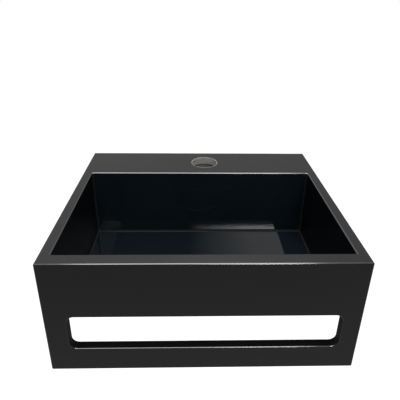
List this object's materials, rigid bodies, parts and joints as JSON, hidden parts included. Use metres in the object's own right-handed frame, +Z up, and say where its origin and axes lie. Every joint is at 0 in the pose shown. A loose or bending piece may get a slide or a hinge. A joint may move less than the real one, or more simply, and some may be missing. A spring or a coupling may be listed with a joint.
{
  "type": "hand basin",
  "caption": "Small wall-hung hand basin: deck with a tap hole, rectangular bowl with a push-to-open waste, and a hanging front apron with a long towel slot above a rail.",
  "frame": {"origin": "on the wall face, midway between the two wall-fixing holes", "axes": "+X along the wall, to the right for a person who stands in front; +Y into the wall; +Z up"},
  "size_m": [0.3, 0.25, 0.128],
  "materials": {
    "black_glaze": "satin matt",
    "black_metal": "satin",
    "brass": "turned",
    "black_rubber": "matt",
    "white_nylon": "moulded",
    "spring_steel": "drawn"
  },
  "bodies": {
    "basin": {"basin_body": "black_glaze", "fixing_bushes": "white_nylon", "waste_body": "black_metal", "waste_top_washer": "black_rubber", "waste_lower_gasket": "black_rubber", "waste_slip_ring": "white_nylon", "waste_backnut": "brass", "cartridge_housing": "white_nylon", "cartridge_collar": "brass", "cartridge_seal": "black_rubber", "cartridge_spring": "spring_steel"},
    "plug": {"plug_cap": "black_metal", "plug_seal": "black_rubber", "plug_plunger": "brass"},
    "indexer": {"index_ring": "white_nylon"}
  },
  "joints": [
    {"name": "plug_travel", "type": "slide", "parent": "basin", "child": "plug", "axis": [0, 0, 1], "range_m": [0, 0.007], "deforming": ["cartridge_spring"]},
    {"name": "index_turn", "type": "hinge", "parent": "plug", "child": "indexer", "pos_m": [0, -0.153, -0.06885], "axis": [0, 0, 1], "range_deg": [0, 45]}
  ],
  "couplings": [
    {"joint": "index_turn", "follows": "plug_travel", "rad_per_m": 112}
  ]
}
